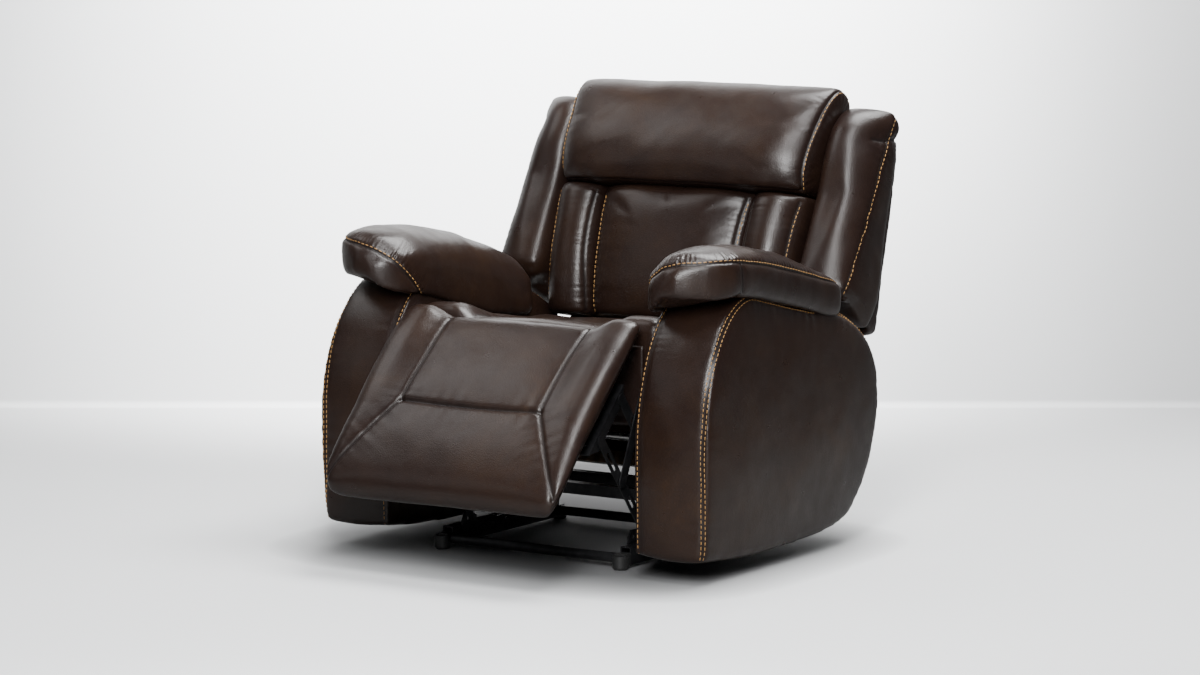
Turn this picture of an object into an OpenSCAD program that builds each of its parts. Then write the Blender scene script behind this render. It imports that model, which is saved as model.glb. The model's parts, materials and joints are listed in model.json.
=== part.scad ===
// Rocker recliner armchair, in millimetres.
// +X is the sitter's left, -Y is the front and +Z is up.
// The parts are drawn with y = 0 at the front of the arms.
// placed() then centres the chair on the origin.
// The chair is drawn with its footrest half way open.

/* [Arms] */
// Half width of the chair, to the outer face of an arm
arm_out = 488; // [484:1:494]
// Half width between the arms
arm_in = 318; // [316:1:320]
// Height of the arm frame, under its pad
arm_h = 590; // [580:1:600]
// Depth of an arm at its widest
arm_d = 728; // [720:1:736]
// Clearance between the arms and the floor
arm_z = 44; // [40:1:50]

/* [Seat] */
// Half width of the seat cushion
seat_hw = 306; // [300:1:310]
// Height of the seat cushion's front edge
seat_h = 508; // [500:1:515]
// How far back the seat box starts
seat_front = 104; // [102:1:108]
// Height of the raised corners beside the chaise
bolster_h = 536; // [528:1:540]

/* [Back] */
// Tilt of the upright back
back_tilt = 13.4; // [12:0.2:15]
// Half width of the back, to its side panels
back_hw = 462; // [455:1:466]
// Length of the back above its pivot, to the top of the headrest
back_len = 622; // [600:1:630]

/* [Footrest] */
// Half width of the footrest pad
foot_hw = 302; // [296:1:305]
// Slope of the half-open footrest from the vertical
foot_tilt = 45; // [43:1:47]

/* [Mechanism] */
// Thickness of a steel link
link_t = 3; // [2.5:0.1:3.2]
// Width of a steel link
link_w = 24; // [20:1:25]
// Radius of a pivot rivet
rivet_r = 5; // [4:0.5:6]

/* [Hidden] */
$fn = 48;

run = 0.06;             // radial clearance of a pin that turns in a hole
origin_y = 314;         // centre of the chair's length

core_hw = 278;          // half width of the seat between the links

// Layers of the linkage, each the inner x of a steel plate
seat_plate_x = 296;
inner_link_x = 291.5;   // rear and front links, and the cranks
outer_link_x = 287;     // upper, lower and drive links
bracket_x = 282.5;      // footrest brackets
mount_x = 303;
mount_t = 4;

// Pivots as [y, z], with the footrest half way open
foot_pin = [-80, 300];                      // upper link to footrest bracket
strut = [-150, 190];                        // from the rear link to the footrest bracket, which never turns
arm_angle = -66;                            // rear link below the horizontal
link_len = 230;
bell = 110;                                 // between the two pins on the rear link, and on the bracket
crank = 60;
crank_angle = 132;
drive = [140, -75];                          // from the rear link's horn to the handle's crank
function fwd(a, r) = [-r * cos(a), r * sin(a)];
b_pin = foot_pin - strut;                   // rear link to upper link
rear_pin = b_pin - fwd(arm_angle, link_len);
front_pin = rear_pin + strut / 2;
a_pin = b_pin + strut / 2;                  // front link to upper link
c_pin = b_pin + fwd(90 + foot_tilt, bell);  // rear link to lower link
foot_pin_2 = c_pin + strut;
horn_pin = rear_pin + fwd(crank_angle, crank);
rod_pin = rear_pin + drive;
crank_pin = horn_pin + drive;
back_pin = [620, 400];

rod_r = 8;
slide = 20;                                 // how far the seat slides forward as the back reclines
roller_y = [345, 575];
roller_z = 355;
roller_r = 6;
seat_bolt_y = [430, 540];
arm_bolt_yz = [[300, 160], [450, 160], [590, 345]];

outer_t = 20;                               // padded outer panel of an arm
inner_t = 14;                               // inner panel of an arm, and the band round it
arm_gap = arm_out - arm_in - outer_t - inner_t;
flap_x = 301;

bolster_x = 214;
seat_rail_z = 335;
seat_rail_h = 63;
spring_wire = 2;

base_x = 230;                               // centre of a base rail and of the cam on it
rail_top = 46;
base_wall = 3;                              // of the base's rails and tubes
base_y = [85, 545];
tube_y = [98, 532];
rock_y = 330;
cam_r = 260;
cam_gap = 1.8;
handle_angle = 47;       // above the horizontal
spring_x = 201;
spring_y = [265, 395];
spring_z = [44, 106];
cross_y = [290, 427];
cross_z = 110;
cross_w = 25;

leather = [0.2, 0.14, 0.12];
steel = [0.12, 0.12, 0.13];
bright = [0.75, 0.75, 0.76];
timber = [0.72, 0.58, 0.4];
plastic = [0.08, 0.08, 0.08];

// ---- helpers ----

module placed() translate([0, -origin_y, 0]) children();

// The shape drawn for the sitter's left, or its mirror for the right
module side(s) {
  if (s > 0) children();
  else mirror([1, 0, 0]) children();
}

module both() for (s = [1, -1]) side(s) children();

// A flat shape in the y-z plane, from x to x + t
module plate(x, t) translate([x, 0, 0]) rotate([90, 0, 90]) linear_extrude(t) children();

// A rod along x
module rod(yz, r, x0, x1) translate([x0, yz[0], yz[1]]) rotate([0, 90, 0]) cylinder(r = r, h = x1 - x0);

// A bar with round ends between two points
module bar(p, q, w) {
  d = q - p;
  n = [-d[1], d[0]] / norm(d) * w / 2;
  polygon([p + n, p - n, q - n, q + n]);
  for (c = [p, q]) translate(c) circle(w / 2);
}

module hole(p, r) translate(p) circle(r);

function bezier(a, b, c, n) = [for (i = [0:n]) let (t = i / n)
  a * (1 - t) * (1 - t) + b * 2 * t * (1 - t) + c * t * t];
function ellipse(c, rx, rz, a0, a1, n) = [for (i = [0:n]) let (a = a0 + (a1 - a0) * i / n)
  [c[0] + rx * cos(a), c[1] + rz * sin(a)]];

// A wire swept along points, each [x, y, z], with its ends closed
module wire(path, r, sides = 6) {
  n = len(path);
  function dir(i) = let (d = path[min(i + 1, n - 1)] - path[max(i - 1, 0)]) d / norm(d);
  function across(i) = let (c = cross(dir(i), [0.3, 0.2, 1])) c / norm(c);
  function ring(i) = [for (k = [0:sides - 1]) let (u = across(i), v = cross(dir(i), u), a = 360 * k / sides)
    path[i] + r * (u * cos(a) + v * sin(a))];
  pts = [for (i = [0:n - 1]) each ring(i)];
  walls = [for (i = [0:n - 2], k = [0:sides - 1]) let (m = (k + 1) % sides, a = i * sides, b = (i + 1) * sides)
    [a + k, a + m, b + m, b + k]];
  ends = [[for (k = [sides - 1:-1:0]) k], [for (k = [0:sides - 1]) (n - 1) * sides + k]];
  polyhedron(pts, concat(walls, ends), convexity = 8);
}

// Points of a zigzag spring of given length: [along, across]
function zigzag(length, width, waves) = let (steps = waves * 8)
  [for (i = [0:steps]) [length * i / steps, width / 2 * sin(360 * waves * i / steps)]];

// ---- base ----

module base_tube(y) color(steel) difference() {
  rod([y, 22], 11, -base_x + 13, base_x - 13);
  rod([y, 22], 11 - base_wall, -base_x, base_x);
}

module base_rail() color(steel) {
  difference() {
    translate([base_x - 13, base_y[0] + 21, 8]) cube([26, base_y[1] - base_y[0] - 42, rail_top - 8]);
    translate([base_x - 13 + base_wall, base_y[0], 8 + base_wall])
      cube([26 - 2 * base_wall, base_y[1] - base_y[0], rail_top - 8 - 2 * base_wall]);
    for (y = [rock_y - 60, rock_y + 60]) rod([y, 27], 4, base_x - 20, base_x + 20);
  }
  // shelf under the two rocker springs
  translate([spring_x - 17, spring_y[0] - 20, spring_z[0] - 4])
    cube([base_x - 13 - spring_x + 17, spring_y[1] - spring_y[0] + 40, 4]);
  // stop tab for rocking forward
  difference() {
    plate(base_x - 17, 4) polygon([[132, 20], [206, 20], [190, 62], [168, 74], [150, 74], [140, 60]]);
    rod([160, 58], 5, base_x - 20, base_x);
  }
}

module glides() color(plastic) both() for (e = [0, 1]) difference() {
  y = base_y[e];
  inward = e == 0 ? 0 : -21;
  union() {
    translate([base_x, y, 0]) cylinder(r1 = 14, r2 = 17, h = 5);
    translate([base_x, y, 5]) cylinder(r = 17, h = 25);
    translate([base_x - 13, y + inward, 8]) cube([26, 21, 26]);
  }
  // socket for the tube
  rod([tube_y[e], 22], 11, base_x - 30, base_x - 13);
}

// A rocker spring: a stack of rings, each one turn of the coil
module rocker_spring(y) color(bright) {
  turns = 6;
  pitch = (spring_z[1] - spring_z[0] - 4) / turns;
  for (i = [0:turns]) translate([spring_x, y, spring_z[0] + 2 + i * pitch])
    rotate_extrude() translate([12, 0]) circle(2, $fn = 16);
  translate([spring_x, y, spring_z[0]]) difference() {
    cylinder(r = 12, h = spring_z[1] - spring_z[0]);
    translate([0, 0, -1]) cylinder(r = 11, h = spring_z[1] - spring_z[0] + 2);
  }
}

// ---- chassis ----

module rocker_cam() color(steel) {
  centre_z = rail_top + cam_gap + cam_r;
  half = asin(90 / cam_r);
  plate(base_x - 8, 16) polygon(concat(
    ellipse([rock_y, centre_z], cam_r, cam_r, 270 - half, 270 + half, 16),
    [[452, 92], [452, cross_z], [262, cross_z], [236, 84]]));
  translate([spring_x - 17, spring_y[0] - 20, spring_z[1]])
    cube([base_x - 8 - spring_x + 17, spring_y[1] - spring_y[0] + 40, 4]);
}

module cross_tube(y) color(steel) difference() {
  translate([-mount_x, y, cross_z]) cube([2 * mount_x, cross_w, cross_w]);
  translate([-mount_x - 1, y + 2, cross_z + 2]) cube([2 * mount_x + 2, cross_w - 4, cross_w - 4]);
}

module mount_rail() color(steel) plate(mount_x, mount_t) difference() {
  polygon([[236, 300], [280, 105], [470, 105], [500, 260], [620, 310], [634, 330], [634, 372], [620, 386],
    [250, 386], [236, 372]]);
  for (y = roller_y) bar([y - slide - 0.5, roller_z], [y + 0.5, roller_z], 2 * roller_r + 0.6);
  bar(rod_pin - [slide + 1, 0], rod_pin + [1, 0], 2 * rod_r + 2);
  for (p = arm_bolt_yz) hole(p, 5);
  for (y = [370, 425]) bar([y, 200], [y, 260], 26);
}

// Outline of an arm, inset by t
function arm_outline(t) = concat(
  [[t, arm_z + 4]],
  ellipse([205, 290], 205 - t, arm_h - 290 - t, 180, 90, 10),
  ellipse([443, 339], arm_d - 443 - t, 195 - t, 90, 0, 12),
  bezier([arm_d - t, 339], [arm_d - 4 - t, 223], [637 - t, 95], 6),
  bezier([637 - t, 95], [612 - t, 56], [500 - t, arm_z + 4], 5),
  [[390, arm_z - 3], [200, arm_z - 3]]);

module rod_slot() bar(rod_pin - [slide + 3, 0], rod_pin + [3, 0], 2 * rod_r + 4);

module arm_side(s) color(leather) side(s) plate(arm_out - outer_t, outer_t) difference() {
  polygon(arm_outline(0));
  if (s < 0) rod_slot();
}

module arm_inner(s) color(leather) side(s) plate(arm_in, inner_t) difference() {
  polygon(arm_outline(0));
  for (p = arm_bolt_yz) hole(p, 5);
  if (s < 0) rod_slot();
}

module arm_band() color(leather) plate(arm_in + inner_t, arm_gap) difference() {
  polygon(arm_outline(0));
  polygon(arm_outline(inner_t));
  translate([inner_t, 0]) square([620 - inner_t, 100]);
  translate([100, 0]) square([560, 62]);
}

module arm_frame(s) color(timber) side(s) {
  x0 = arm_in + inner_t;
  // web that carries the bolts
  plate(x0, 12) difference() {
    polygon(arm_outline(18));
    for (p = arm_bolt_yz) hole(p, 5);
    square([800, 62]);
    if (s < 0) rod_slot();
    for (p = [[160, 200], [430, 300], [560, 220]]) hole(p, 45);
  }
  // posts and rails
  translate([x0 + 12, 18, 64]) cube([arm_gap - 12, 24, 260]);
  translate([x0 + 12, 42, 64]) cube([arm_gap - 12, 518, 22]);
  translate([x0 + 12, 120, 470]) cube([arm_gap - 12, 400, 22]);
  translate([x0 + 12, 640, 200]) cube([arm_gap - 12, 24, 190]);
}

module arm_pad() hull() {
  for (x = [340, 462]) {
    translate([x, 50, 622]) sphere(38, $fn = 24);
    translate([x, 526, 552]) sphere(36, $fn = 24);
  }
  for (y = [130, 300]) for (x = [346, 456]) translate([x, y, 642]) sphere(42, $fn = 24);
}

// The pad lies on the arm, and its cover hangs down the arm's inner side
module arm_rest() color(leather) {
  difference() {
    arm_pad();
    plate(arm_in - 40, 300) polygon(arm_outline(-1));
  }
  plate(flap_x, arm_in - 1 - flap_x) polygon([[90, 600], [149, 547], [255, 514], [379, 482], [491, 466],
    [540, 462], [548, 500], [540, 560], [430, 610], [300, 640], [130, 650]]);
}

module arm_bolts() color(bright) both() for (p = arm_bolt_yz) {
  rod(p, 5, mount_x, arm_in + 26);
  rod(p, 9, mount_x - 1.8, mount_x);
}

module handle_trim() color(plastic) side(-1) plate(arm_out, 8) difference() {
  bar(rod_pin - [slide / 2 + 26, 0], rod_pin - [slide / 2 - 26, 0], 54);
  rod_slot();
}

// ---- seat ----

module seat_plate() color(steel) plate(seat_plate_x, link_t) difference() {
  polygon([[80, 404], [84, 428], [98, 436], [600, 436], [634, 424], [644, 398], [630, 372], [560, 336],
    [350, 236], [304, 222], [270, 230], [160, 296], [136, 318], [112, 352]]);
  for (p = [rear_pin, front_pin]) hole(p, rivet_r);
  hole(rod_pin, rod_r + run);
  hole(back_pin, 6);
  for (y = roller_y) hole([y, roller_z], roller_r);
  for (y = seat_bolt_y) hole([y, 372], 5);
  for (y = [430, 500]) hole([y, 410], 10);
}

module seat_pivots() color(bright) both() {
  for (p = [rear_pin, front_pin]) {
    rod(p, rivet_r, inner_link_x + 0.1, seat_plate_x + link_t + 0.1);
    rod(p, rivet_r + 4, seat_plate_x + link_t, seat_plate_x + link_t + 2.4);
  }
  rod(back_pin, 6, 276, seat_plate_x + link_t + 0.1);
  rod(back_pin, 11, seat_plate_x + link_t, seat_plate_x + link_t + 3);
  difference() {
    rod(back_pin, 11, 284.2, seat_plate_x);
    rod(back_pin, 6, 284, seat_plate_x + 1);
  }
  for (y = roller_y) {
    rod([y, roller_z], roller_r, seat_plate_x, mount_x + mount_t + 1);
    rod([y, roller_z], roller_r + 3, mount_x + mount_t + 0.6, mount_x + mount_t + 3);
  }
}

module seat_side_rails() color(timber) both()
  difference() {
    translate([250, seat_front, seat_rail_z]) cube([22, 585 - seat_front, seat_rail_h]);
    for (y = seat_bolt_y) rod([y, 372], 5, 255, 280);
  }

module seat_cross_rails() color(timber) {
  for (y = [seat_front, 563]) translate([-250, y, seat_rail_z]) cube([500, 22, seat_rail_h]);
}

module seat_bolts() color(bright) both() for (y = seat_bolt_y) {
  rod([y, 372], 5, 255, seat_plate_x + link_t);
  rod([y, 372], 9, seat_plate_x + link_t, seat_plate_x + link_t + 2.4);
  difference() {
    rod([y, 372], 9, 272, seat_plate_x);
    rod([y, 372], 5, 271, seat_plate_x + 1);
  }
}

// Zigzag springs with their ends on the cross rails, sagging a little between them
module seat_springs() color(bright) {
  length = 569 - seat_front;
  top = seat_rail_z + seat_rail_h + spring_wire + 0.1;
  for (i = [-2:2]) wire([for (p = zigzag(length, 44, 9))
    [i * 96 + p[1], seat_front + 8 + p[0], top - 6 * sin(180 * p[0] / length)]], spring_wire);
}

module seat_cushion() color(leather) {
  // the core goes down between the links, and the crown spreads over them
  plate(-core_hw, 2 * core_hw) polygon([[588, 403], [seat_front, 403], [seat_front, 456], [588, 456]]);
  plate(-seat_hw, 2 * seat_hw) polygon(concat(
    [[560, 446], [seat_front, 446], [seat_front, seat_h - 28]],
    bezier([seat_front, seat_h - 24], [seat_front, seat_h], [seat_front + 34, seat_h], 5),
    [[250, seat_h - 16], [379, seat_h - 40], [491, seat_h - 52]],
    bezier([520, seat_h - 54], [560, seat_h - 56], [560, seat_h - 60], 5)));
  // raised corners beside the chaise
  both() plate(bolster_x, seat_hw - bolster_x) polygon(concat(
    [[240, 460], [seat_front, 460], [seat_front, bolster_h - 24]],
    bezier([seat_front, bolster_h - 20], [seat_front + 4, bolster_h], [seat_front + 26, bolster_h], 5),
    [[170, bolster_h - 10], [240, seat_h - 14]]));
}

module seat_apron() color(leather) translate([-core_hw, seat_front - 8, 306]) cube([2 * core_hw, 8, 170]);

// ---- linkage ----

module rear_links() color(steel) both() {
  plate(inner_link_x, link_t) difference() {
    union() {
      bar(rear_pin, b_pin, link_w);
      bar(b_pin, c_pin, link_w);
      bar(c_pin, rear_pin, link_w);
      bar(rear_pin, horn_pin, link_w);
      polygon([rear_pin, b_pin, c_pin]);
    }
    hole(rear_pin, rivet_r + run);
    for (p = [b_pin, c_pin, horn_pin]) hole(p, rivet_r);
    hole((rear_pin + b_pin + c_pin) / 3 + [3, 12], 9);
  }
  for (p = [b_pin, c_pin, horn_pin]) {
    rod(p, rivet_r, outer_link_x - 0.3, inner_link_x + link_t);
    rod(p, rivet_r + 3, outer_link_x - 2.4, outer_link_x - 0.3);
  }
}

module front_links() color(steel) both() {
  plate(inner_link_x, link_t) difference() {
    bar(front_pin, a_pin, link_w);
    hole(front_pin, rivet_r + run);
    hole(a_pin, rivet_r);
  }
  rod(a_pin, rivet_r, outer_link_x - 0.3, inner_link_x + link_t);
  rod(a_pin, rivet_r + 3, outer_link_x - 2.4, outer_link_x - 0.3);
}

module upper_links() color(steel) both() plate(outer_link_x, link_t) difference() {
  bar(b_pin, foot_pin, link_w);
  for (p = [b_pin, a_pin, foot_pin]) hole(p, rivet_r + run);
  bar(b_pin + strut * 0.2, b_pin + strut * 0.3, 9);
  bar(b_pin + strut * 0.66, b_pin + strut * 0.84, 9);
}

module lower_links() color(steel) both() plate(outer_link_x, link_t) difference() {
  bar(c_pin, foot_pin_2, link_w);
  for (p = [c_pin, foot_pin_2]) hole(p, rivet_r + run);
  bar(c_pin + strut * 0.25, c_pin + strut * 0.75, 8);
}

module drive_links() color(steel) both() plate(outer_link_x, link_t) difference() {
  bar(horn_pin, crank_pin, 20);
  for (p = [horn_pin, crank_pin]) hole(p, rivet_r + run);
}

module drive_rod() color(bright) rod(rod_pin, rod_r, -arm_out - 27, seat_plate_x + link_t + 4);

module drive_cranks() color(steel) both() {
  plate(inner_link_x, link_t) difference() {
    union() {
      bar(rod_pin, crank_pin, link_w);
      hole(rod_pin, 17);
    }
    hole(rod_pin, rod_r);
    hole(crank_pin, rivet_r);
  }
  difference() {
    rod(rod_pin, 14, inner_link_x - 12, inner_link_x);
    rod(rod_pin, rod_r, inner_link_x - 13, inner_link_x + 1);
  }
  rod(crank_pin, rivet_r, outer_link_x - 0.3, inner_link_x + link_t);
  // clear of the hub, because the crank carries it
  rod(crank_pin, rivet_r + 3, outer_link_x - 2.4, outer_link_x - 0.3);
}

// A lever from the hub to the round end of its grip
module handle() color(plastic) side(-1) plate(arm_out + 9, 16) difference() {
  grip = rod_pin + fwd(handle_angle, 190);
  polygon(concat(
    [for (a = [40:20:320]) rod_pin + fwd(handle_angle + a, 22)],
    [for (a = [-90:18:90]) grip + fwd(handle_angle + a, 17)]));
  hole(rod_pin, rod_r);
}

// ---- footrest ----

module foot_panel() translate([0, foot_pin[0], foot_pin[1]]) rotate([-foot_tilt, 0, 0]) children();

module footrest_board() color(timber) foot_panel() translate([-288, -27, -208]) cube([576, 15, 404]);

module footrest_pad() color(leather) foot_panel() plate(-foot_hw, 2 * foot_hw) polygon(concat(
  [[-27, -212], [-27, 236]],
  bezier([-30, 244], [-58, 256], [-66, 236], 4),
  bezier([-72, 226], [-93, 120], [-94, 0], 8),
  bezier([-94, -10], [-92, -120], [-58, -202], 8),
  bezier([-56, -206], [-50, -220], [-36, -220], 4)));

module footrest_bracket() color(steel) foot_panel() {
  difference() {
    union() {
      plate(bracket_x, link_t) polygon([[-12, -46], [12, -18], [12, 116], [-12, 140]]);
      translate([252, -12, -46]) cube([bracket_x + link_t - 252, 3, 186]);
    }
    for (z = [-24, 30, 75, 124]) translate([266, -20, z]) rotate([-90, 0, 0]) cylinder(r = 3, h = 20);
  }
  for (z = [0, bell]) {
    rod([0, z], rivet_r, bracket_x - 0.1, outer_link_x + link_t);
    rod([0, z], rivet_r + 4, bracket_x - 2.4, bracket_x);
  }
}

// ---- back ----

module on_back() translate([0, back_pin[0], back_pin[1]]) rotate([-back_tilt, 0, 0]) children();

back_top = 552;          // top of the shell above the pivot
wing_top = 571;
low = -270;              // lower end of the back below the pivot
low_hw = 296;

module back_posts() color(timber) on_back() both()
  translate([258, 105, low + 4]) cube([22, 25, 520 - low]);

module back_rails() color(timber) on_back() for (z = [low + 4, 70, 494])
  translate([-258, 105, z]) cube([516, 25, 30]);

// Zigzag springs across the front faces of the posts
module back_springs() color(bright) on_back() for (i = [0:4])
  wire([for (p = zigzag(544, 40, 8)) [p[0] - 272, 102.5, 150 + 76 * i + p[1]]], spring_wire);

module back_bracket() color(steel) on_back() difference() {
  plate(280, 4) polygon([[-15, -12], [-15, 12], [-2, 18], [60, 76], [101, 94], [101, 170],
    [130, 170], [130, -30], [104, -30], [12, -15]]);
  rod([0, 0], 6 + run, 270, 290);
  for (z = [0, 60, 130]) rod([117, z], 4, 270, 290);
}

// Front edge of the side panel, as [y, z] above the pivot
function side_seam() = [[-36, 134], [-12, 190], [29, 297], [52, 380], [69, 448], [96, 505], [128, 538]];

module back_shell() color(leather) on_back() {
  difference() {
    rotate([90, 0, 0]) translate([0, 0, -151]) linear_extrude(14) polygon(concat(
      [[-low_hw, low], [low_hw, low], [low_hw, 30]],
      bezier([low_hw, 34], [low_hw, 54], [back_hw - 20, 54], 5),
      [[back_hw, 66], [back_hw, 470]],
      bezier([back_hw, 480], [back_hw, back_top], [back_hw - 80, back_top], 6),
      bezier([-back_hw + 80, back_top], [-back_hw, back_top], [-back_hw, 480], 6),
      [[-back_hw, 66]],
      bezier([-back_hw + 20, 54], [-low_hw, 54], [-low_hw, 34], 5)));
    for (s = [-1, 1]) translate([s * 60, 130, low + 30]) rotate([-90, 0, 0]) cylinder(r = 3, h = 30);
  }
  both() plate(back_hw - 12, 12) polygon(concat(side_seam(),
    [[137, 540], [137, 66], [110, 76], [80, 88], [16, 122]]));
}

// A wing with a rolled top that stands over the shell
module wing() color(leather) on_back() plate(346, 102) polygon(concat(
  [[136, 150], [100, 80], [78, 90], [16, 122], [-40, 140]],
  bezier([-60, 160], [-30, 270], [-4, 370], 6),
  bezier([0, 400], [6, 530], [56, wing_top - 8], 6),
  bezier([76, wing_top + 2], [136, wing_top + 2], [136, wing_top - 24], 5)));

// A lumbar cushion, whose lower front lip hangs behind the seat cushion
module lumbar(x0, x1, bulge) color(leather) on_back() plate(x0, x1 - x0) polygon(concat(
  [[100, 100], [40, 98], [-2, 56], [-58, 56]],
  bezier([-72, 66], [-104 - bulge, 200], [-66, 352], 8),
  [[-50, 360], [100, 360]]));

module headrest() color(leather) on_back() plate(-338, 676) polygon(concat(
  [[100, 364], [-50, 364]],
  bezier([-64, 370], [-76, 420], [-40, 500], 6),
  bezier([-36, 510], [10, back_len + 6], [70, back_len], 8),
  bezier([76, back_len], [128, back_len - 8], [134, 560], 6),
  [[134, 556], [100, 556]]));

// ---- nodes ----

placed() base_tube(tube_y[0]);  // base_front_tube
placed() base_tube(tube_y[1]);  // base_rear_tube
placed() side(1) base_rail();  // base_rail_left
placed() side(-1) base_rail();  // base_rail_right
placed() glides();
placed() side(1) rocker_spring(spring_y[0]);  // rocker_spring_front_left
placed() side(1) rocker_spring(spring_y[1]);  // rocker_spring_rear_left
placed() side(-1) rocker_spring(spring_y[0]);  // rocker_spring_front_right
placed() side(-1) rocker_spring(spring_y[1]);  // rocker_spring_rear_right
placed() side(1) rocker_cam();  // rocker_cam_left
placed() side(-1) rocker_cam();  // rocker_cam_right
placed() cross_tube(cross_y[0]);  // front_cross_tube
placed() cross_tube(cross_y[1]);  // rear_cross_tube
placed() side(1) mount_rail();  // mount_rail_left
placed() side(-1) mount_rail();  // mount_rail_right
placed() arm_frame(1);  // arm_frame_left
placed() arm_frame(-1);  // arm_frame_right
placed() arm_side(1);  // arm_side_left
placed() arm_side(-1);  // arm_side_right
placed() arm_inner(1);  // arm_inner_left
placed() arm_inner(-1);  // arm_inner_right
placed() side(1) arm_band();  // arm_band_left
placed() side(-1) arm_band();  // arm_band_right
placed() side(1) arm_rest();  // arm_pad_left
placed() side(-1) arm_rest();  // arm_pad_right
placed() arm_bolts();
placed() handle_trim();
placed() side(1) seat_plate();  // seat_plate_left
placed() side(-1) seat_plate();  // seat_plate_right
placed() seat_pivots();
placed() seat_side_rails();
placed() seat_cross_rails();
placed() seat_bolts();
placed() seat_springs();
placed() seat_cushion();
placed() seat_apron();
placed() rear_links();
placed() front_links();
placed() upper_links();
placed() lower_links();
placed() drive_links();
placed() drive_rod();
placed() drive_cranks();
placed() handle();
placed() footrest_board();
placed() footrest_pad();
placed() side(1) footrest_bracket();  // footrest_bracket_left
placed() side(-1) footrest_bracket();  // footrest_bracket_right
placed() back_posts();
placed() back_rails();
placed() back_springs();
placed() back_shell();
placed() side(1) back_bracket();  // back_bracket_left
placed() side(-1) back_bracket();  // back_bracket_right
placed() side(1) wing();  // wing_left
placed() side(-1) wing();  // wing_right
placed() lumbar(-196, 196, 6);  // lumbar_centre
placed() side(1) lumbar(200, 312, 0);  // lumbar_left
placed() side(-1) lumbar(200, 312, 0);  // lumbar_right
placed() headrest();
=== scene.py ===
"""Rocker recliner armchair in brown leather: the looks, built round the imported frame.
Metres, +Z up, -Y the front."""
import json
import math

import bmesh
import bpy
import numpy as np
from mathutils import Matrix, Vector
from mathutils.bvhtree import BVHTree


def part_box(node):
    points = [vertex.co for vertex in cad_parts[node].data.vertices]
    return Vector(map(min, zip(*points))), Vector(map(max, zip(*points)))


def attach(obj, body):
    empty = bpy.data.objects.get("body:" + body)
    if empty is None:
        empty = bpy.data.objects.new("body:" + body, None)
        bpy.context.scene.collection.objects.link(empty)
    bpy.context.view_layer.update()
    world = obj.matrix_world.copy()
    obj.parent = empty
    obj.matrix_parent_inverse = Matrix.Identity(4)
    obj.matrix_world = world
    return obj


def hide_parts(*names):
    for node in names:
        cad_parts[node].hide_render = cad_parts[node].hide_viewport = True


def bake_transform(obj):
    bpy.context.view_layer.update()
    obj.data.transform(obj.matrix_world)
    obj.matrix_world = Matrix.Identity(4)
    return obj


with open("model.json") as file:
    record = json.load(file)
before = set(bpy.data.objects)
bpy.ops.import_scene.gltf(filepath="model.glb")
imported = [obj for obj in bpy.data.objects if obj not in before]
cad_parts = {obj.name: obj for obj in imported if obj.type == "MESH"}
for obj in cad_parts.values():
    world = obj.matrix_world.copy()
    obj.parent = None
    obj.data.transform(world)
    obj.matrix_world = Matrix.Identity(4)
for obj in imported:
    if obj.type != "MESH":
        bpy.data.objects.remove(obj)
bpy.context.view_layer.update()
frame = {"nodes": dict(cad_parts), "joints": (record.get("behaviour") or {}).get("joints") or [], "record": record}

# ---------------------------------------------------------------- places, from the frame

JOINTS = {joint["name"]: joint for joint in frame["joints"]}
BACK_PIVOT = np.array(JOINTS["back_recline"]["pos_m"])
FOOT_PIVOT = np.array(JOINTS["footrest_turn"]["pos_m"])
BACK_TILT = math.radians(13.4)
FOOT_TILT = math.radians(45)

ARM_LOW, ARM_HIGH = (np.array(c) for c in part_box("arm_side_left"))
ARM_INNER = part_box("arm_inner_left")[0][0]
ARM_OUTER = ARM_HIGH[0]
ARM_FRONT = ARM_LOW[1]
ARM_TOP = ARM_HIGH[2]
SEAT_LOW, SEAT_HIGH = (np.array(c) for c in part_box("seat_cushion"))


def on_plane(origin, tilt):
    """Turns points [x, y, z] of a leaning part, with z up along it and -y out of its face, into the frame."""
    c, s = math.cos(tilt), math.sin(tilt)

    def place(points):
        p = np.asarray(points, float)
        y, z = origin[1] + p[:, 1] * c + p[:, 2] * s, origin[2] - p[:, 1] * s + p[:, 2] * c
        return np.stack([p[:, 0], y, z], 1)

    def back(points):
        y, z = points[:, 1] - origin[1], points[:, 2] - origin[2]
        return np.stack([points[:, 0], y * c - z * s, y * s + z * c], 1)

    return place, back


on_back, from_back = on_plane(BACK_PIVOT, BACK_TILT)
on_foot, from_foot = on_plane(FOOT_PIVOT, FOOT_TILT)

# ---------------------------------------------------------------- camera, light and floor

VIEW_AZIMUTH = math.radians(33)
VIEW_DIP = math.radians(7.126)
BASE_SHADE = (0, (0, 0), (0.56, 0.50))  # turn, middle and half sizes of the shade under the chair
REAR_SHADE = (VIEW_AZIMUTH, (0.03, 0.62), (0.40, 0.72))  # and of the shade behind it

def aim_camera():
    data = bpy.data.cameras.new("camera")
    data.lens = 112.7
    data.sensor_width = 36
    data.clip_end = 60
    camera = bpy.data.objects.new("camera", data)
    camera.location = (4.446, -6.800, 1.470)
    camera.rotation_euler = (math.pi / 2 - VIEW_DIP, 0, VIEW_AZIMUTH)
    bpy.context.scene.collection.objects.link(camera)
    bpy.context.scene.camera = camera


def hang_light(name, data, place, target):
    light = bpy.data.objects.new(name, data)
    light.location = place
    light.rotation_euler = (Vector(target) - Vector(place)).to_track_quat("-Z", "Y").to_euler()
    bpy.context.scene.collection.objects.link(light)


def area_light(name, place, target, size, power):
    data = bpy.data.lights.new(name, "AREA")
    data.shape = "RECTANGLE"
    data.size, data.size_y = size
    data.energy = power
    hang_light(name, data, place, target)


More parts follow.
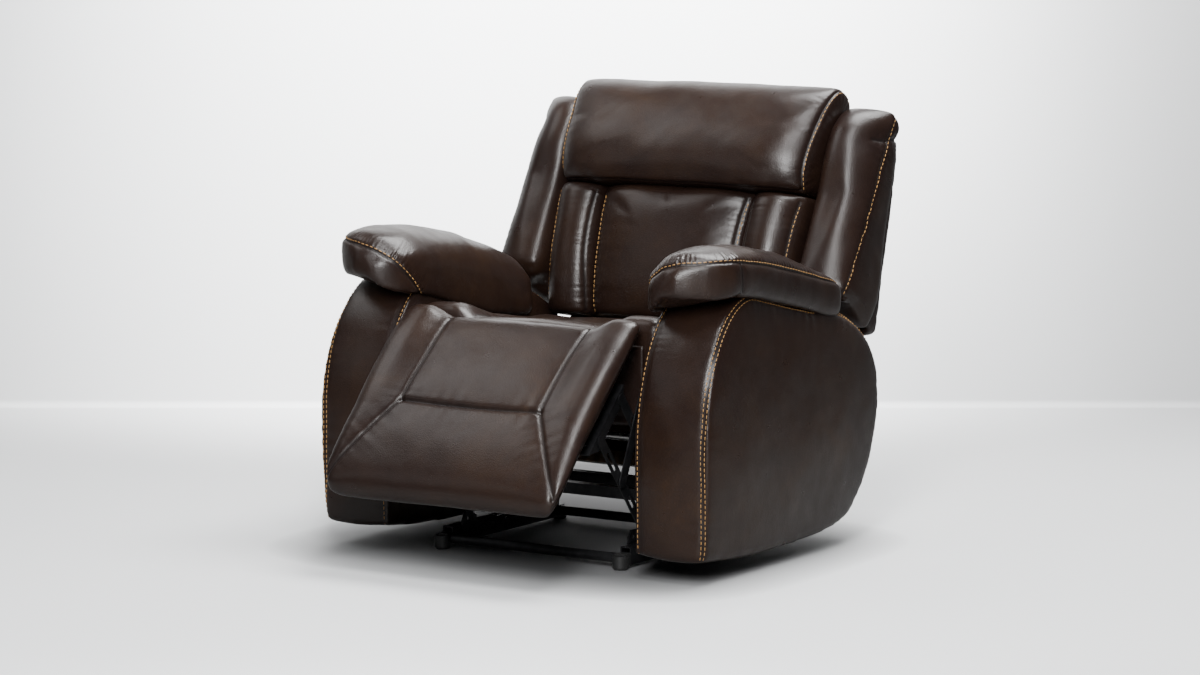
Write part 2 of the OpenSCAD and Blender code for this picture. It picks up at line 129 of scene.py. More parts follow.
def spot(name, place, target, angle, power):
    data = bpy.data.lights.new(name, "SPOT")
    data.spot_size = math.radians(angle)
    data.spot_blend = 1.0
    data.shadow_soft_size = 0.4
    data.energy = power
    hang_light(name, data, place, target)


def mesh_object(name, points, faces):
    mesh = bpy.data.meshes.new(name)
    mesh.from_pydata([tuple(p) for p in points], [], [tuple(f) for f in faces])
    mesh.update()
    obj = bpy.data.objects.new(name, mesh)
    bpy.context.scene.collection.objects.link(obj)
    return obj


def shade_patch(nodes, links, turn, middle, half):
    """1 on a rounded box of the floor that is in shade, and 0 outside it."""
    mapping = nodes.new("ShaderNodeMapping")
    mapping.vector_type = "TEXTURE"
    c, s = math.cos(turn), math.sin(turn)
    x, y = middle
    mapping.inputs["Location"].default_value = (x * c - y * s, x * s + y * c, 0)
    mapping.inputs["Rotation"].default_value = (0, 0, turn)
    links.new(coordinates(nodes), mapping.inputs["Vector"])
    split = nodes.new("ShaderNodeSeparateXYZ")
    links.new(mapping.outputs["Vector"], split.inputs["Vector"])
    spread = [math_node(nodes, links, "POWER", math_node(nodes, links, "ABSOLUTE", math_node(
        nodes, links, "DIVIDE", split.outputs[axis], size), 0), 4) for axis, size in zip("XY", half)]
    return map_range(nodes, links, math_node(nodes, links, "ADD", *spread), 0.15, 1.6, 0.9, 0.0)


def build_stage():
    """A pale floor that turns up into a pale wall behind the chair, with painted shadows under and behind the
    chair.
    """
    away = np.array([-math.sin(VIEW_AZIMUTH), math.cos(VIEW_AZIMUTH), 0])
    across = np.array([math.cos(VIEW_AZIMUTH), math.sin(VIEW_AZIMUTH), 0])
    start, wall, bend, top, half_width = -9.0, 2.09, 0.02, 6, 9
    profile = [(start, 0)] + [(wall - bend + bend * math.sin(a), bend - bend * math.cos(a))
                              for a in np.linspace(0, math.pi / 2, 9)] + [(wall, top)]
    points, faces = [], []
    for d, z in profile:
        for side in (-half_width, half_width):
            points.append(away * d + across * side + np.array([0, 0, z]))
    for i in range(len(profile) - 1):
        faces.append((2 * i, 2 * i + 1, 2 * i + 3, 2 * i + 2))
    floor = mesh_object("studio_floor", points, faces)
    material, nodes, links, shader = new_material("studio_floor")
    shade = noise(nodes, links, 0.5, 2)
    ramp = colour_ramp(nodes, links, shade, [(0.3, (0.90, 0.915, 0.925)), (0.7, (0.94, 0.95, 0.96))])
    # painted shadows: the floor's colour darkens to near black under the chair and behind it
    for patch in (BASE_SHADE, REAR_SHADE):
        ramp = mix_colour(nodes, links, shade_patch(nodes, links, *patch), ramp, (0.05, 0.05, 0.052))
    # dark to every ray but the camera's, so that the leather doesn't turn grey from the white round it
    rays = nodes.new("ShaderNodeLightPath")
    ramp = mix_colour(nodes, links, rays.outputs["Is Camera Ray"], (0.22, 0.22, 0.22), ramp)
    links.new(ramp, shader.inputs["Base Color"])
    shader.inputs["Roughness"].default_value = 0.7
    # nothing is seen of it from behind, so that the back of the chair can be looked at
    side = nodes.new("ShaderNodeNewGeometry")
    clear = nodes.new("ShaderNodeBsdfTransparent")
    mix = nodes.new("ShaderNodeMixShader")
    links.new(side.outputs["Backfacing"], mix.inputs[0])
    links.new(shader.outputs["BSDF"], mix.inputs[1])
    links.new(clear.outputs["BSDF"], mix.inputs[2])
    links.new(mix.outputs[0], nodes["Material Output"].inputs["Surface"])
    floor.data.materials.append(material)


def light_scene():
    world = bpy.data.worlds.new("studio")
    world.use_nodes = True
    world.node_tree.nodes["Background"].inputs["Color"].default_value = (0.86, 0.93, 1.0, 1)
    world.node_tree.nodes["Background"].inputs["Strength"].default_value = 0.09
    bpy.context.scene.world = world
    area_light("key", (1.75, -3.2, 2.25), (0.05, 0, 0.65), (0.8, 2.0), 200)
    area_light("top", (0.5, 0.9, 3.6), (0, -0.1, 0.3), (2.0, 1.6), 200)
    area_light("rim", (1.3, -1.4, 3.5), (0.2, -0.5, 0.4), (0.9, 0.9), 60)
    area_light("overhead", (-2.2, -0.8, 3.2), (0, -0.1, 0.4), (2.0, 1.6), 24)
    area_light("left", (-2.7, -3.6, 2.0), (0, 0, 0.6), (1.6, 1.8), 7)
    spot("floor", (1.9, -3.0, 3.4), (1.7, -2.9, 0), 60, 3000)
    spot("wall", (0.5, -0.2, 3.6), (-1.45, 2.0, 1.15), 54, 4800)


# ---------------------------------------------------------------- material nodes

def new_material(name):
    material = bpy.data.materials.new(name)
    material.use_nodes = True
    tree = material.node_tree
    return material, tree.nodes, tree.links, tree.nodes["Principled BSDF"]


def coordinates(nodes):
    found = nodes.get("Place")
    if not found:
        found = nodes.new("ShaderNodeTexCoord")
        found.name = "Place"
    return found.outputs["Object"]


def noise(nodes, links, scale, detail=4, rough=0.5, distortion=0.0):
    node = nodes.new("ShaderNodeTexNoise")
    node.inputs["Scale"].default_value = scale
    node.inputs["Detail"].default_value = detail
    node.inputs["Roughness"].default_value = rough
    node.inputs["Distortion"].default_value = distortion
    links.new(coordinates(nodes), node.inputs["Vector"])
    return node.outputs["Fac"]


def cell_edges(nodes, links, scale, randomness):
    """The distance to the edge of the cell, on a net of uneven cells."""
    node = nodes.new("ShaderNodeTexVoronoi")
    node.feature = "DISTANCE_TO_EDGE"
    node.inputs["Scale"].default_value = scale
    node.inputs["Randomness"].default_value = randomness
    links.new(coordinates(nodes), node.inputs["Vector"])
    return node.outputs["Distance"]


def colour_ramp(nodes, links, fac, stops):
    node = nodes.new("ShaderNodeValToRGB")
    ramp = node.color_ramp
    while len(ramp.elements) < len(stops):
        ramp.elements.new(0.5)
    for element, (at, colour) in zip(ramp.elements, stops):
        element.position = at
        element.color = (*colour, 1)
    links.new(fac, node.inputs["Fac"])
    return node.outputs["Color"]


def math_node(nodes, links, kind, a, b):
    node = nodes.new("ShaderNodeMath")
    node.operation = kind
    for socket, value in zip(node.inputs, (a, b)):
        if isinstance(value, (int, float)):
            socket.default_value = value
        else:
            links.new(value, socket)
    return node.outputs["Value"]


def map_range(nodes, links, value, low, high, to_low, to_high):
    node = nodes.new("ShaderNodeMapRange")
    links.new(value, node.inputs["Value"])
    for name, number in (("From Min", low), ("From Max", high), ("To Min", to_low), ("To Max", to_high)):
        node.inputs[name].default_value = number
    return node.outputs["Result"]


def mix_colour(nodes, links, fac, a, b):
    node = nodes.new("ShaderNodeMix")
    node.data_type = "RGBA"
    for socket, value in ((node.inputs["Factor"], fac), (node.inputs["A"], a), (node.inputs["B"], b)):
        if isinstance(value, (int, float)):
            socket.default_value = value
        elif isinstance(value, tuple):
            socket.default_value = (*value, 1)
        else:
            links.new(value, socket)
    return node.outputs["Result"]


def bump(nodes, links, height, distance, strength=1.0, under=None):
    node = nodes.new("ShaderNodeBump")
    node.inputs["Distance"].default_value = distance
    node.inputs["Strength"].default_value = strength
    links.new(height, node.inputs["Height"])
    if under:
        links.new(under, node.inputs["Normal"])
    return node.outputs["Normal"]


def attribute(nodes, name):
    node = nodes.new("ShaderNodeAttribute")
    node.attribute_name = name
    return node.outputs["Fac"]


def leather_material():
    """Dark brown leather: amber patches, pebble grain, fine creases, rougher in the seams, and painted shade
    darkening the seam grooves.
    """
    material, nodes, links, shader = new_material("brown_leather")
    broad = noise(nodes, links, 3.2, 3, 0.55, 0.6)
    patch = noise(nodes, links, 11, 5, 0.6, 0.8)
    cloud = math_node(nodes, links, "ADD", math_node(nodes, links, "MULTIPLY", broad, 0.6),
                      math_node(nodes, links, "MULTIPLY", patch, 0.4))
    body = colour_ramp(nodes, links, cloud, [
        (0.30, (0.0100, 0.0051, 0.0042)), (0.47, (0.0142, 0.0072, 0.0054)),
        (0.60, (0.0205, 0.0102, 0.0062)), (0.74, (0.0360, 0.0170, 0.0076))])
    speck = noise(nodes, links, 160, 3, 0.6)
    body = mix_colour(nodes, links, map_range(nodes, links, speck, 0.35, 0.7, 0.0, 0.35), body,
                      (0.012, 0.007, 0.006))
    # painted shade: the seam attribute darkens the leather in and beside the seam grooves
    seam = attribute(nodes, "seam")
    sewn = math_node(nodes, links, "MULTIPLY", seam, 0.65)
    body = mix_colour(nodes, links, sewn, body, (0.005, 0.003, 0.0027))
    wear = math_node(nodes, links, "MULTIPLY", attribute(nodes, "crest"), 0.4)
    body = mix_colour(nodes, links, wear, body, (0.044, 0.022, 0.011))
    links.new(body, shader.inputs["Base Color"])
    rough = map_range(nodes, links, noise(nodes, links, 26, 5, 0.6), 0.3, 0.7, 0.27, 0.36)
    rough = math_node(nodes, links, "ADD", rough, math_node(nodes, links, "MULTIPLY", seam, 0.15))
    links.new(rough, shader.inputs["Roughness"])
    pebble = noise(nodes, links, 420, 2)
    crease = cell_edges(nodes, links, 95, 0.8)
    crease = map_range(nodes, links, crease, 0.0, 0.12, 0.0, 1.0)
    soft = noise(nodes, links, 30, 3, 0.5, 0.4)
    normal = bump(nodes, links, soft, 0.0010, 0.35)
    normal = bump(nodes, links, crease, 0.0003, 0.15, normal)
    normal = bump(nodes, links, pebble, 0.0007, 0.55, normal)
    links.new(normal, shader.inputs["Normal"])
    shader.inputs["Specular IOR Level"].default_value = 0.36
    shader.inputs["Coat Weight"].default_value = 0.10
    shader.inputs["Coat Roughness"].default_value = 0.26
    return material


def thread_material(name, colour):
    material, nodes, links, shader = new_material(name)
    tone = noise(nodes, links, 240, 3)
    links.new(colour_ramp(nodes, links, tone, [(0.3, tuple(0.7 * c for c in colour)), (0.7, colour)]),
              shader.inputs["Base Color"])
    links.new(map_range(nodes, links, tone, 0.3, 0.7, 0.5, 0.7), shader.inputs["Roughness"])
    links.new(bump(nodes, links, noise(nodes, links, 1500, 2), 0.0004, 0.5), shader.inputs["Normal"])
    return material


def metal_material(name, dark, light, low, high, metallic, grain):
    material, nodes, links, shader = new_material(name)
    tone = noise(nodes, links, 30, 5, 0.6, 0.4)
    links.new(colour_ramp(nodes, links, tone, [(0.32, dark), (0.7, light)]), shader.inputs["Base Color"])
    rough = map_range(nodes, links, noise(nodes, links, 60, 5), 0.3, 0.7, low, high)
    links.new(rough, shader.inputs["Roughness"])
    links.new(bump(nodes, links, noise(nodes, links, grain, 3), 0.0003, 0.35), shader.inputs["Normal"])
    shader.inputs["Metallic"].default_value = metallic
    return material


def wood_material():
    material, nodes, links, shader = new_material("sawn_timber")
    rings = nodes.new("ShaderNodeTexWave")
    rings.inputs["Scale"].default_value = 9
    rings.inputs["Distortion"].default_value = 7
    rings.inputs["Detail"].default_value = 3
    links.new(coordinates(nodes), rings.inputs["Vector"])
    # darker than bare sawn timber, as painted shade for the dark inside of the chair, over the wood's own grain
    stops = [(0.2, (0.10, 0.060, 0.032)), (0.8, (0.17, 0.108, 0.060))]
    links.new(colour_ramp(nodes, links, rings.outputs["Fac"], stops), shader.inputs["Base Color"])
    rough = map_range(nodes, links, noise(nodes, links, 90, 4), 0.3, 0.7, 0.55, 0.75)
    links.new(rough, shader.inputs["Roughness"])
    links.new(bump(nodes, links, rings.outputs["Fac"], 0.0004, 0.4), shader.inputs["Normal"])
    return material


# ---------------------------------------------------------------- mesh tools

def coords(obj):
    out = np.empty(len(obj.data.vertices) * 3)
    obj.data.vertices.foreach_get("co", out)
    return out.reshape(-1, 3)


def set_coords(obj, points):
    obj.data.vertices.foreach_set("co", np.asarray(points, float).ravel())
    obj.data.update()


def normals(obj):
    out = np.empty(len(obj.data.vertices) * 3)
    obj.data.vertex_normals.foreach_get("vector", out)
    return out.reshape(-1, 3)


def bake(obj):
    """Applies every modifier."""
    graph = bpy.context.evaluated_depsgraph_get()
    mesh = bpy.data.meshes.new_from_object(obj.evaluated_get(graph))
    obj.modifiers.clear()
    old = obj.data
    obj.data = mesh
    bpy.data.meshes.remove(old)


def prism(outline, x0, x1):
    """Points and faces of an outline [y, z], drawn from x0 to x1."""
    n = len(outline)
    points = [np.array([x, y, z]) for x in (x0, x1) for y, z in outline]
    faces = [tuple(range(n)), tuple(range(2 * n - 1, n - 1, -1))]
    faces += [(i, i + n, (i + 1) % n + n, (i + 1) % n) for i in range(n)]
    return points, faces


def loft(rings):
    """Points and faces of closed rings with the same number of points, capped at both ends."""
    n = len(rings[0])
    points = [p for ring in rings for p in ring]
    faces = [tuple(range(n - 1, -1, -1)), tuple(range((len(rings) - 1) * n, len(rings) * n))]
    for r in range(len(rings) - 1):
        a, b = r * n, (r + 1) * n
        faces += [(a + i, a + (i + 1) % n, b + (i + 1) % n, b + i) for i in range(n)]
    return points, faces


def face_outwards(obj):
    bm = bmesh.new()
    bm.from_mesh(obj.data)
    bmesh.ops.recalc_face_normals(bm, faces=bm.faces)
    bm.to_mesh(obj.data)
    bm.free()


def soft_form(name, solids, voxel, relax_steps, place=None):
    """One closed skin round the given solids, with its edges rounded."""
    points, faces = [], []
    for p, f in solids:
        faces += [tuple(i + len(points) for i in face) for face in f]
        points += list(p)
    if place:
        points = place(points)
    obj = mesh_object(name, points, faces)
    face_outwards(obj)
    modifier = obj.modifiers.new("skin", "REMESH")
    modifier.mode = "VOXEL"
    modifier.voxel_size = voxel
    bake(obj)
    relax(obj, relax_steps)
    return obj


def relax(obj, steps):
    """Moves each point half of the way to the middle of its neighbours, a number of times."""
    mesh = obj.data
    edges = np.empty(len(mesh.edges) * 2, np.int64)
    mesh.edges.foreach_get("vertices", edges)
    a, b = edges.reshape(-1, 2).T
    count = np.bincount(np.concatenate([a, b]), minlength=len(mesh.vertices))[:, None]
    points = coords(obj)
    for _ in range(steps):
        total = np.stack([np.bincount(a, points[b, k], len(points))
                          + np.bincount(b, points[a, k], len(points)) for k in range(3)], 1)
        step = 0.5 * (total / count - points)
        points = points + step
    set_coords(obj, points)


def subdivide(obj):
    modifier = obj.modifiers.new("fine", "SUBSURF")
    modifier.levels = modifier.render_levels = 1
    bake(obj)


def resample(points, step=0.003):
    points = np.asarray(points, float)
    lengths = np.linalg.norm(np.diff(points, axis=0), axis=1)
    along = np.concatenate([[0], np.cumsum(lengths)])
    n = max(2, int(along[-1] / step))
    at = np.linspace(0, along[-1], n)
    return np.stack([np.interp(at, along, points[:, k]) for k in range(3)], 1)


def curve(points, n=12):
    """A smooth line through the points (Catmull-Rom)."""
    p = np.asarray(points, float)
    p = np.concatenate([[2 * p[0] - p[1]], p, [2 * p[-1] - p[-2]]])
    out = []
    for i in range(1, len(p) - 2):
        for t in np.linspace(0, 1, n, endpoint=False):
            out.append(0.5 * (2 * p[i] + (p[i + 1] - p[i - 1]) * t
                              + (2 * p[i - 1] - 5 * p[i] + 4 * p[i + 1] - p[i + 2]) * t ** 2
                              + (3 * p[i] - p[i - 1] - 3 * p[i + 1] + p[i + 2]) * t ** 3))
    return np.array(out + [p[-2]])


def tree_of(obj):
    graph = bpy.context.evaluated_depsgraph_get()
    return BVHTree.FromObject(obj, graph)


def even(points, steps=6):
    """A line with its small wobbles taken out."""
    line = np.array(points, float)
    for _ in range(steps):
        line[1:-1] += 0.5 * (0.5 * (line[:-2] + line[2:]) - line[1:-1])
    return line


def snap(tree, points):
    """The nearest places on a surface, and the surface's normals there."""
    hits = [tree.find_nearest(Vector(p)) for p in points]
    return np.array([h[0] for h in hits]), np.array([h[1] for h in hits])


def nearest(points, targets):
    """For each point, the index of the nearest target and the distance to it."""
    index = np.empty(len(points), int)
    distance = np.empty(len(points))
    for start in range(0, len(points), 4000):
        block = points[start:start + 4000]
        d = ((block[:, None, :] - targets[None]) ** 2).sum(2)
        index[start:start + 4000] = d.argmin(1)
        distance[start:start + 4000] = np.sqrt(d.min(1))
    return index, distance


def waves(points, size, seed, count=14):
    """Smooth noise about 0, with features of the given size."""
    rng = np.random.default_rng(seed)
    value = np.zeros(len(points))
    warp = 0.25 * size * np.sin(points[:, [1, 2, 0]] * (2 * math.pi / (2.3 * size)) + rng.uniform(0, 6, 3))
    for _ in range(count):
        direction = rng.normal(size=3)
        direction *= 2 * math.pi / (size * rng.uniform(0.7, 1.9)) / np.linalg.norm(direction)
        value += np.sin((points + warp) @ direction + rng.uniform(0, 2 * math.pi))
    return value / math.sqrt(count)


def gathers(along, seed, size=0.018):
    """A row of uneven folds along a seam."""
    rng = np.random.default_rng(seed)
    value = np.zeros(len(along))
    for _ in range(7):
        value += np.sin(along * 2 * math.pi / (size * rng.uniform(0.65, 1.7)) + rng.uniform(0, 6.28))
    patchy = 0.6 + 0.4 * np.sin(along * 2 * math.pi / (size * 9) + rng.uniform(0, 6.28))
    return value / math.sqrt(7) * patchy


class Seam:
    """A sewn line on a soft piece: how deep it pulls in, how strongly it gathers the leather, how long its
    folds are and how far they reach, the rows of thread beside it, and the way its folds lean."""

    def __init__(self, points, groove, gather, size=0.018, reach=0.03, rows=(), smooth=True, lean=None):
        self.points = resample(curve(points) if smooth and len(points) > 2 else points)
        self.groove, self.gather, self.size, self.reach, self.rows = groove, gather, size, reach, rows
        self.lean = lean


GROOVE_WIDTH = 0.0045
# how far the painted shade spreads from a seam
STITCH_SHADE = 0.0038


def dress(obj, seams, crown, crown_reach, ripple, ripple_size, seed):
    """Crowns the leather between the seams, pulls it in and gathers it along them, and makes it uneven."""
    tree = tree_of(obj)
    points = coords(obj)
    out = normals(obj)
    height = ripple * waves(points, ripple_size, seed)
    height = height + 0.25 * ripple * waves(points, ripple_size * 0.4, seed + 50)
    groove_shade = np.zeros(len(points))
    least = np.full(len(points), 1.0)
    for k, seam in enumerate(seams):
        line = even(snap(tree, seam.points)[0], 20)
        seam.line = line
        index, distance = nearest(points, line)
        along = np.concatenate([[0], np.cumsum(np.linalg.norm(np.diff(line, axis=0), axis=1))])[index]
        least = np.minimum(least, distance)
        height -= seam.groove * np.exp(-(distance / GROOVE_WIDTH) ** 1.3)
        fold = gathers(along, seed * 7 + k, seam.size)
        if seam.lean is not None:
            fold = fold * np.clip(0.5 + (points - line[index]) @ np.array(seam.lean) / 0.008, 0.0, 1)
        height += seam.gather * fold * np.exp(-distance / seam.reach) * (1 - np.exp(-(distance / 0.006) ** 2))
        # painted shade along the seam, as strong as its groove is deep
        groove_shade = np.maximum(groove_shade, np.exp(-(distance / STITCH_SHADE) ** 2) * min(1, seam.groove / 0.003))
    if seams:
        height += crown * (1 - np.exp(-least / crown_reach))
    set_coords(obj, points + out * height[:, None])
    for name, value in (("seam", groove_shade), ("crest", np.clip(height / 0.02, 0, 1) * np.clip(1 - groove_shade, 0, 1))):
        layer = obj.data.attributes.new(name, "FLOAT", "POINT")
        layer.data.foreach_set("value", value.astype(np.float32))


def stitch(name, obj, seams, body):
    """Rows of thread beside the seams of a piece, one small rounded stitch after another."""
    length, gap, radius = 0.0075, 0.0035, 0.00095
    tree = tree_of(obj)
    profile = [(-0.5, 0.25), (-0.36, 1.0), (0.36, 1.0), (0.5, 0.25)]
    points, faces = [], []
    for seam in seams:
        for offset in seam.rows:
            line = resample(seam.line, 0.004)
            _, up = snap(tree, line)
            ahead = np.gradient(line, axis=0)
            ahead /= np.linalg.norm(ahead, axis=1)[:, None] + 1e-12
            row = resample(line + np.cross(up, ahead) * offset, 0.002)
            row, up = snap(tree, row)
            row, up = even(row, 50), even(up, 50)
            run = np.concatenate([[0], np.cumsum(np.linalg.norm(np.diff(row, axis=0), axis=1))])
            at = 0.0
            while at + length < run[-1]:
                middle = np.array([np.interp(at + length / 2, run, row[:, k]) for k in range(3)])
                ends = [np.array([np.interp(a, run, row[:, k]) for k in range(3)]) for a in (at, at + length)]
                normal = up[min(len(up) - 1, int(np.searchsorted(run, at + length / 2)))]
                tangent = ends[1] - ends[0]
                size = np.linalg.norm(tangent)
                at += length + gap
                if size < 0.5 * length:
                    continue
                tangent /= size
                side = np.cross(normal, tangent)
                base = len(points)
                for t, r in profile:
                    lift = 0.0004 + 0.0005 * (1 - 4 * t * t)
                    for k in range(6):
                        a = math.pi / 3 * k
                        points.append(middle + tangent * size * t + normal * (lift + radius * r * math.sin(a))
                                      + side * radius * r * math.cos(a))
                faces.append(tuple(base + k for k in range(5, -1, -1)))
                faces.append(tuple(base + 18 + k for k in range(6)))
                for ring in range(3):
                    for k in range(6):
                        m = (k + 1) % 6
                        a = base + ring * 6
                        faces.append((a + k, a + m, a + 6 + m, a + 6 + k))
    thread = mesh_object(name, points, faces)
    smooth(thread)
    thread.data.materials.append(THREAD)
    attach(thread, body)


def smooth(obj):
    obj.data.polygons.foreach_set("use_smooth", [True] * len(obj.data.polygons))


def puff(obj, pinned, pressure, cap, soften=0):
    """Blows a skin up as stuffed cloth, held along its pinned points, and applies the result, which moves no
    point further than cap. Soften evens out the small wrinkles."""
    frames = 20
    group = obj.vertex_groups.new(name="pinned")
    for i in np.flatnonzero(pinned > 0.02):
        group.add([int(i)], float(pinned[i]), "REPLACE")
    cloth = obj.modifiers.new("cloth", "CLOTH")
    settings = cloth.settings
    settings.quality = 5
    settings.mass = 0.4
    settings.tension_stiffness = settings.compression_stiffness = settings.shear_stiffness = 15.0
    settings.bending_stiffness = 0.6
    settings.use_pressure = True
    settings.uniform_pressure_force = pressure
    settings.effector_weights.gravity = 0
    settings.vertex_group_mass = "pinned"
    cloth.collision_settings.use_self_collision = False
    cloth.point_cache.frame_start = 1
    cloth.point_cache.frame_end = frames
    start = coords(obj)
    scene = bpy.context.scene
    for number in range(1, frames + 1):
        scene.frame_set(number)
    graph = bpy.context.evaluated_depsgraph_get()
    done = obj.evaluated_get(graph)
    end = np.empty(len(done.data.vertices) * 3)
    done.data.vertices.foreach_get("co", end)
    end = end.reshape(-1, 3)
    obj.modifiers.clear()
    obj.vertex_groups.clear()
    scene.frame_set(1)
    move = end - start
    set_coords(obj, move)
    relax(obj, soften)
    move = coords(obj)
    size = np.linalg.norm(move, axis=1)[:, None]
    limited = cap * np.tanh(size / cap)
    set_coords(obj, start + move * np.where(size > 1e-9, limited / np.maximum(size, 1e-9), 0))


def pins(obj, seams, width, also):
    """How firmly each point is held in place: fully on a seam, and wherever also says."""
    points = coords(obj)
    tree = tree_of(obj)
    held = np.zeros(len(points))
    for seam in seams:
        line, _ = snap(tree, seam.points)
        _, distance = nearest(points, line)
        held = np.maximum(held, np.clip(1.6 - distance / width, 0, 1))
    return np.maximum(held, also(points))


def finish_soft(obj, body, nodes, seams):
    """Gives a soft piece its leather, its body and the CAD nodes that it replaces, and sews its seams."""
    smooth(obj)
    obj.data.materials.append(LEATHER)
    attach(obj, body)
    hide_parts(*nodes)
    if seams:
        stitch(obj.name + "_stitching", obj, seams, body)


def arc(centre, ry, rz, start, end, n):
    return [(centre[0] + ry * math.cos(math.radians(a)), centre[1] + rz * math.sin(math.radians(a)))
            for a in np.linspace(start, end, n)]


def bezier(a, b, c, n):
    a, b, c = (np.array(p, float) for p in (a, b, c))
    return [tuple(a * (1 - t) ** 2 + b * 2 * t * (1 - t) + c * t * t) for t in np.linspace(0, 1, n)]


aim_camera()
build_stage()
light_scene()
LEATHER = leather_material()
THREAD = thread_material("tan_thread", (0.46, 0.25, 0.085))

# ---------------------------------------------------------------- arms

ARM_DEPTH = 0.728


def arm_line(inset=0.0):
    """The arm's edge seen from the side, from its front foot over the top to its rear foot, as (y, z)."""
    y0, t = ARM_FRONT, inset
    line = [(y0 + t, 0.052)]
    line += arc((y0 + 0.205, 0.290), 0.205 - t, ARM_TOP - 0.290 - t, 180, 90, 22)
    line += arc((y0 + 0.443, 0.339), 0.285 - t, 0.195 - t, 90, 0, 22)
    line += bezier((y0 + ARM_DEPTH - t, 0.339), (y0 + 0.724 - t, 0.223), (y0 + 0.637 - t, 0.095), 12)[1:]
    return line


def arm_bottom():
    y0 = ARM_FRONT
    return bezier((y0 + 0.637, 0.095), (y0 + 0.612, 0.056), (y0 + 0.500, 0.048), 10)[1:] + [
        (y0 + 0.390, 0.042), (y0 + 0.200, 0.042)]


def arm_bulge(points, side):
    """How far the outer side stands out: nothing at the foot, most at half height, flat under the handle."""
    y = (points[:, 1] - ARM_FRONT) / ARM_DEPTH
    z = (points[:, 2] - ARM_LOW[2]) / 0.55
    hump = np.sin(np.clip(z, 0, 1) ** 0.8 * math.pi) * (0.65 + 0.35 * np.sin(np.clip(y, 0, 1) * math.pi))
    outer = np.clip((points[:, 0] * side - 0.41) / 0.07, 0, 1)
    move = outer * (0.026 * hump - 0.008)
    if side < 0:
        rod = np.array(JOINTS["handle_turn"]["pos_m"])
        near = np.hypot(points[:, 1] - rod[1] + 0.01, points[:, 2] - rod[2])
        flat = 1 / (1 + np.exp(-(near - 0.085) / 0.012))
        move = move * flat
    return move


def build_arm(side, word):
    outline = arm_line() + arm_bottom()
    arm = soft_form("arm_" + word, [prism(outline, side * ARM_INNER, side * ARM_OUTER)], 0.006, 9)
    points = coords(arm)
    points[:, 0] += side * arm_bulge(points, side)
    set_coords(arm, points)
    front = arm_line(0.004)
    outer = Seam([(side * (ARM_OUTER - 0.004), y, z) for y, z in front], 0.0040, 0.0010, 0.022, 0.018,
                 rows=(-0.0045 * side, 0.0045 * side), smooth=False)
    inner = Seam([(side * (ARM_INNER + 0.013), y, z) for y, z in front], 0.0035, 0.0008, 0.02, 0.02,
                 rows=(0.005 * side,), smooth=False)
    dress(arm, [outer, inner], 0.007, 0.05, 0.0012, 0.16, seed=3 + side)
    finish_soft(arm, "chassis", [f"arm_{n}_{word}" for n in ("side", "inner", "band")], [outer, inner])


for side, word in ((1, "left"), (-1, "right")):
    build_arm(side, word)

# ---------------------------------------------------------------- arm pads


def arm_height(y):
    """The arm's top edge at y."""
    line = np.array([p for p in arm_line() if p[1] > 0.30 and p[0] < ARM_FRONT + 0.60])
    return np.interp(y, line[:, 0], line[:, 1])


PAD_LENGTH = 0.574


def pad_ring(y, side):
    """The pad's section y behind the arm's front: an upright outer side, a crowned top, and a flap over the
    inner side."""
    top = np.interp(y, [0, 0.03, 0.06, 0.13, 0.22, 0.34, 0.45, 0.53, 0.574],
                    [0.654, 0.674, 0.684, 0.690, 0.684, 0.662, 0.628, 0.602, 0.580])
    seam = np.interp(y, [0, 0.05, 0.115, 0.237, 0.362, 0.535, 0.574],
                     [0.650, 0.664, 0.666, 0.648, 0.622, 0.582, 0.570])
    low = np.interp(y, [0, 0.03, 0.124, 0.197, 0.35, 0.492, 0.574],
                    [0.590, 0.586, 0.590, 0.582, 0.552, 0.515, 0.505])
    flap = np.interp(y, [0, 0.06, 0.12, 0.168, 0.255, 0.379, 0.491, 0.574],
                     [0.566, 0.556, 0.548, 0.539, 0.514, 0.482, 0.467, 0.462])
    under = max(low + 0.004, float(arm_height(ARM_FRONT + y)) - 0.012) if y > 0.12 else low + 0.002
    middle = under if y > 0.12 else flap + 0.016
    half = (top + flap) / 2
    section = [(0.484, low), (0.497, low + 0.010), (0.502, (low + seam) / 2), (0.500, seam),
               (0.484, top - 0.012), (0.450, top - 0.001), (0.405, top + 0.001), (0.355, top - 0.010),
               (0.318, top - 0.040), (0.304, half + 0.006), (0.302, flap + 0.016), (0.307, flap + 0.002),
               (0.316, flap + 0.002), (0.324, min(middle, flap + 0.040)), (0.350, middle), (0.460, under)]
    section = curve([(0, x, z) for x, z in section + section[:1]], 5)[:-1, 1:]
    centre = np.array([0.400, (top + low) / 2 - 0.008])
    nose = 1 - (1 - min(1.0, (y - 0.008) / 0.107)) ** 2
    tall = np.interp(y, [0.010, 0.018, 0.030, 0.050], [0.40, 0.68, 0.90, 1])
    end = 0.30 + 0.70 * math.sqrt(max(0.02, 1 - (1 - min(1.0, (PAD_LENGTH - y) / 0.042)) ** 2))
    wide = [end * (nose if x > centre[0] else math.sqrt(nose)) * (x - centre[0]) for x, _ in section]
    return [(side * (centre[0] + w), ARM_FRONT + y, centre[1] + end * tall * (z - centre[1]))
            for w, (_, z) in zip(wide, section)]


